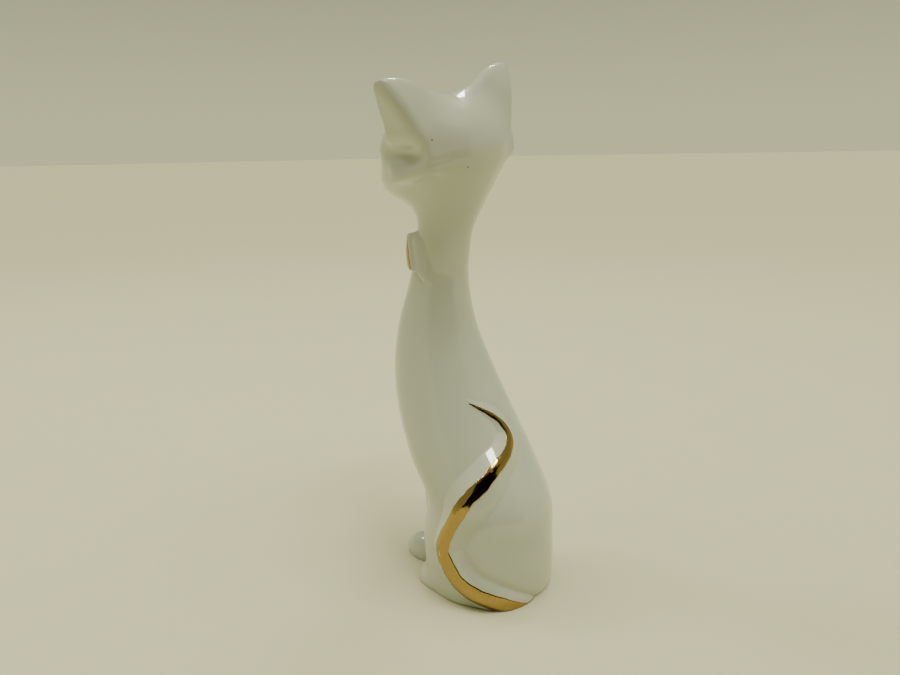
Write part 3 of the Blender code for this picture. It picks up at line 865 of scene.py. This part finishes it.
def bow_gold(look):
    """Lustre on the front of each loop."""
    columns, rows = BOW_GOLD_GRID
    for side, word in ((1.0, "left"), (-1.0, "right")):
        up = np.linspace(-1.0, 1.0, rows + 1)
        along = np.linspace(0.0, 1.0, columns + 1)[:, None]
        last = bow_end(up * (BOW_END_HALF - 0.5)) - GOLD_END_GAP + 0.08 * np.sin(up * 9.0 + side)
        first = BOW_KNOT + GOLD_KNOT_GAP
        arc = first + (last[None] - first) * along
        half = bow_half(arc) - GOLD_EDGE_GAP - 0.10 * np.sin(arc * 1.3 + side)
        height = (BOW_HEIGHT + half * up[None]).ravel()
        turn = side * arc.ravel() / BOW_RADIUS
        reach = BOW_RADIUS + 0.4
        x = reach * np.sin(turn)
        y = -BOW_FORWARD - reach * np.cos(turn)
        points = np.stack((x, y, height), 1)
        name = f"bow_gold_{word}"
        film(name, f"bow_gilding_{word}", "gold", points, columns, rows, look, BOW_GOLD_LIFT)


def face_points(outline, columns, rows, across):
    """Grid of head-frame points in front of the face, between an outline's low and high edge."""
    x = np.linspace(across[0], across[1], columns + 1)
    low, high = outline(x)
    z = low[:, None] + (high - low)[:, None] * np.linspace(0.0, 1.0, rows + 1)[None]
    x = np.repeat(x, rows + 1)
    z = z.ravel()
    return np.stack((x, np.full(len(x), FACE_START), z), 1)


def drop_on_face(points):
    """March head-frame points backwards until they meet the head's skin."""
    points = points.copy()
    for _ in range(40):
        distance = outer_skin(np.asarray(from_head(points), np.float32))
        points[:, 1] += np.clip(distance, -2.0, 2.0) * 0.7
    return from_head(points)


def almond(side):
    """Outline of the eye on one side."""

    def edges(x):
        """Low and high edge at each x."""
        share = np.clip(np.abs(x - side * EYE_PLACE[0]) / EYE_HALF[0], 0.0, 0.995)
        half = EYE_HALF[1] * np.sqrt(1.0 - share ** 2) * (1.0 - 0.35 * share)
        middle = EYE_PLACE[1] + EYE_SLANT * side * (x - side * EYE_PLACE[0])
        return middle - half, middle + half

    return edges


def nose(x):
    """Outline of the nose: its low and high edge at each x."""
    share = np.clip(np.abs(x) / NOSE_HALF[0], 0.0, 1.0)
    return NOSE_UP - NOSE_HALF[1] * (1.0 - share), NOSE_UP + NOSE_HALF[1] * (1.0 - 0.75 * share ** 2)


def painted_face(look):
    """Eyes and nose, painted in enamel; a generic cat's face."""
    for side, word in ((1.0, "left"), (-1.0, "right")):
        across = (side * EYE_PLACE[0] - EYE_HALF[0], side * EYE_PLACE[0] + EYE_HALF[0])
        points = drop_on_face(face_points(almond(side), *EYE_GRID, across))
        film(f"eye_{word}_enamel", f"eye_{word}", "enamel", points, *EYE_GRID, look, ENAMEL_LIFT)
    points = drop_on_face(face_points(nose, *NOSE_GRID, (-NOSE_HALF[0], NOSE_HALF[0])))
    film("nose_enamel", "nose", "enamel", points, *NOSE_GRID, look, ENAMEL_LIFT)


# ---------------------------------------------------------------- materials


def new_material(name):
    """An empty Principled material with its tree and shader."""
    made = bpy.data.materials.new(name)
    made.use_nodes = True
    tree = made.node_tree
    return made, tree, tree.nodes["Principled BSDF"]


def add(tree, kind, settings=None, **values):
    """A node with its properties and its sockets set."""
    node = tree.nodes.new(kind)
    for key, value in (settings or {}).items():
        setattr(node, key, value)
    for key, value in values.items():
        node.inputs[key.replace("_", " ")].default_value = value
    return node


def place(tree):
    """The point on the object, in metres."""
    return add(tree, "ShaderNodeTexCoord").outputs["Object"]


def ramp(tree, source, low, high, out_low=0.0, out_high=1.0):
    """Soft step of a value between two limits."""
    node = add(tree, "ShaderNodeMapRange", {"interpolation_type": "SMOOTHSTEP"})
    tree.links.new(source, node.inputs["Value"])
    for name, value in (("From Min", low), ("From Max", high), ("To Min", out_low), ("To Max", out_high)):
        node.inputs[name].default_value = value
    return node.outputs["Result"]


def blend(tree, share, first, second):
    """Colour mixed by a share; each colour is a value or another node's output."""
    node = add(tree, "ShaderNodeMix", {"data_type": "RGBA"})
    tree.links.new(share, node.inputs["Factor"])
    for socket, colour in ((node.inputs[6], first), (node.inputs[7], second)):
        if isinstance(colour, tuple):
            socket.default_value = colour
        else:
            tree.links.new(colour, socket)
    return node.outputs[2]


def noise(tree, scale, detail=2.0):
    """Noise with so many features to the metre."""
    node = add(tree, "ShaderNodeTexNoise", Scale=scale, Detail=detail)
    tree.links.new(place(tree), node.inputs["Vector"])
    return node.outputs["Fac"]


def bump(tree, height, distance, shader, sockets):
    """Waviness of so many metres on the shader's normals."""
    node = add(tree, "ShaderNodeBump", Distance=distance, Strength=1.0)
    tree.links.new(height, node.inputs["Height"])
    for socket in sockets:
        tree.links.new(node.outputs["Normal"], shader.inputs[socket])


def specks(tree):
    """Where the glaze has a dark speck: iron spots strewn thinly and two pinholes."""
    spots = add(tree, "ShaderNodeTexVoronoi", Scale=SPECK_CELLS)
    tree.links.new(place(tree), spots.inputs["Vector"])
    tone = add(tree, "ShaderNodeSeparateColor")
    tree.links.new(spots.outputs["Color"], tone.inputs["Color"])
    near = ramp(tree, spots.outputs["Distance"], *SPECK_EDGE, 1.0, 0.0)
    rare = ramp(tree, tone.outputs["Red"], *SPECK_RARITY)
    both = add(tree, "ShaderNodeMath", {"operation": "MULTIPLY"})
    tree.links.new(near, both.inputs[0])
    tree.links.new(rare, both.inputs[1])
    found = both.outputs[0]
    for point in PINHOLES:
        away = add(tree, "ShaderNodeVectorMath", {"operation": "DISTANCE"})
        tree.links.new(place(tree), away.inputs[0])
        away.inputs[1].default_value = point
        hole = ramp(tree, away.outputs["Value"], PINHOLE_RADIUS * 0.6, PINHOLE_RADIUS, 1.0, 0.0)
        most = add(tree, "ShaderNodeMath", {"operation": "MAXIMUM"})
        tree.links.new(found, most.inputs[0])
        tree.links.new(hole, most.inputs[1])
        found = most.outputs[0]
    return found


def glaze_material():
    """White glaze over clay, bare where it stands on the foot, with a few dark specks."""
    made, tree, shader = new_material("white_glaze")
    split = add(tree, "ShaderNodeSeparateXYZ")
    tree.links.new(place(tree), split.inputs["Vector"])
    ragged = noise(tree, 260.0)
    edge = add(tree, "ShaderNodeMath", {"operation": "MULTIPLY_ADD"})
    tree.links.new(ragged, edge.inputs[0])
    edge.inputs[1].default_value = -BARE_RAGGED
    tree.links.new(split.outputs["Z"], edge.inputs[2])
    bare = ramp(tree, edge.outputs[0], -BARE_EDGE, 0.0, 1.0, 0.0)
    cloudy = blend(tree, noise(tree, 34.0), GLAZE_COLOUR, CLOUD_COLOUR)
    spotted = blend(tree, specks(tree), cloudy, SPECK_COLOUR)
    colour = blend(tree, bare, spotted, CLAY_COLOUR)
    tree.links.new(colour, shader.inputs["Base Color"])
    tree.links.new(ramp(tree, bare, 0.0, 1.0, *GLAZE_ROUGHNESS), shader.inputs["Roughness"])
    tree.links.new(ramp(tree, bare, 0.0, 1.0, 1.0, 0.0), shader.inputs["Coat Weight"])
    shader.inputs["Coat Roughness"].default_value = COAT_ROUGHNESS
    shader.inputs["Coat IOR"].default_value = COAT_INDEX
    bump(tree, noise(tree, 55.0, 1.0), GLAZE_WAVES, shader, ("Coat Normal",))
    return made


def gold_material():
    """Fired gold lustre, brushed on by hand and thinner in places."""
    made, tree, shader = new_material("gold_lustre")
    shader.inputs["Metallic"].default_value = 1.0
    colour = blend(tree, noise(tree, 420.0, 4.0), GOLD_COLOUR, WORN_GOLD_COLOUR)
    tree.links.new(colour, shader.inputs["Base Color"])
    worn = ramp(tree, noise(tree, 900.0, 3.0), 0.3, 0.8, *GOLD_ROUGHNESS)
    tree.links.new(worn, shader.inputs["Roughness"])
    bump(tree, noise(tree, 700.0, 2.0), GOLD_WAVES, shader, ("Normal",))
    return made


def enamel_material():
    """Glossy dark paint of the eyes and nose."""
    made, _, shader = new_material("dark_enamel")
    shader.inputs["Base Color"].default_value = ENAMEL_COLOUR
    shader.inputs["Roughness"].default_value = ENAMEL_ROUGHNESS
    return made


def stage_material(name, colour, roughness):
    """Matt look of the floor and the flags."""
    made, _, shader = new_material(name)
    shader.inputs["Base Color"].default_value = colour
    shader.inputs["Roughness"].default_value = roughness
    shader.inputs["Specular IOR Level"].default_value = 0.0
    return made


# ---------------------------------------------------------------- stage


def floor():
    """Wide plain pale sheet."""
    bpy.ops.mesh.primitive_plane_add(size=FLOOR_SIZE, location=(0.0, 0.0, 0.0))
    made = bpy.context.object
    made.name = "floor"
    made.data.materials.append(stage_material("pale_floor", FLOOR_COLOUR, FLOOR_ROUGHNESS))


def dark_card(name, place_at, width, height):
    """Upright studio flag facing the cat; it takes light away without being seen itself."""
    bpy.ops.mesh.primitive_plane_add(size=1.0, location=place_at)
    made = bpy.context.object
    made.name = name
    made.scale = (width, height, 1.0)
    ahead = Vector((0.0, 0.0, made.location.z)) - made.location
    made.rotation_euler = ahead.to_track_quat("-Z", "Y").to_euler()
    made.data.materials.append(stage_material(name + "_look", CARD_COLOUR, CARD_ROUGHNESS))
    made.visible_camera = False
    made.visible_shadow = False
    return made


def flags():
    """One flag makes the dark half of the gold's reflections, the other shades the near side."""
    dark_card("gloss_flag", *GLOSS_FLAG).visible_diffuse = False
    dark_card("shade_flag", *SHADE_FLAG).visible_glossy = False


def lamp(name, place_at, power):
    """A small lamp that makes a crisp highlight."""
    data = bpy.data.lights.new(name, "AREA")
    data.shape = "RECTANGLE"
    data.size, data.size_y = LAMP_SIZE
    data.energy = power
    data.color = LAMP_COLOUR
    made = bpy.data.objects.new(name, data)
    made.location = place_at
    made.rotation_euler = (Vector(LAMP_TARGET) - Vector(place_at)).to_track_quat("-Z", "Y").to_euler()
    bpy.context.scene.collection.objects.link(made)


def wide_light(name, towards, strength):
    """A large far-off soft light that falls evenly over the whole floor."""
    data = bpy.data.lights.new(name, "SUN")
    data.angle = WIDE_ANGLE
    data.energy = strength
    data.color = WIDE_COLOUR
    made = bpy.data.objects.new(name, data)
    made.rotation_euler = Vector(towards).to_track_quat("Z", "Y").to_euler()
    made.visible_glossy = False
    bpy.context.scene.collection.objects.link(made)


def sky():
    """Pale surroundings, as bright as the floor at the horizon and darker above."""
    world = bpy.data.worlds.new("studio")
    bpy.context.scene.world = world
    world.use_nodes = True
    tree = world.node_tree
    background = tree.nodes["Background"]
    split = add(tree, "ShaderNodeSeparateXYZ")
    direction = add(tree, "ShaderNodeTexCoord").outputs["Generated"]
    tree.links.new(direction, split.inputs["Vector"])
    colour = blend(tree, ramp(tree, split.outputs["Z"], 0.0, SKY_FADE), HORIZON_COLOUR, ZENITH_COLOUR)
    tree.links.new(colour, background.inputs["Color"])
    background.inputs["Strength"].default_value = STUDIO_STRENGTH


def camera():
    """The photograph's view: from behind the cat's left shoulder, a little above."""
    data = bpy.data.cameras.new("camera")
    data.sensor_width = SENSOR
    data.lens = LENS
    made = bpy.data.objects.new("camera", data)
    bpy.context.scene.collection.objects.link(made)
    made.location = Vector((BASE + CAMERA_PLACE) * MM)
    heading = Matrix.Rotation(CAMERA_HEADING, 4, "Z")
    tilt = Matrix.Rotation(CAMERA_TILT, 4, "X")
    roll = Matrix.Rotation(CAMERA_ROLL, 4, "Z")
    made.rotation_euler = (heading @ tilt @ roll).to_euler()
    made.data.clip_start = 0.01
    bpy.context.scene.camera = made
    bpy.context.scene.view_settings.look = "AgX - Medium High Contrast"


glaze_look = glaze_material()
gold_look = gold_material()
enamel_look = enamel_material()
ceramic(glaze_look)
tail_gold(gold_look)
bow_gold(gold_look)
painted_face(enamel_look)
floor()
flags()
for settings in LAMPS:
    lamp(*settings)
for settings in WIDE_LIGHTS:
    wide_light(*settings)
sky()
camera()
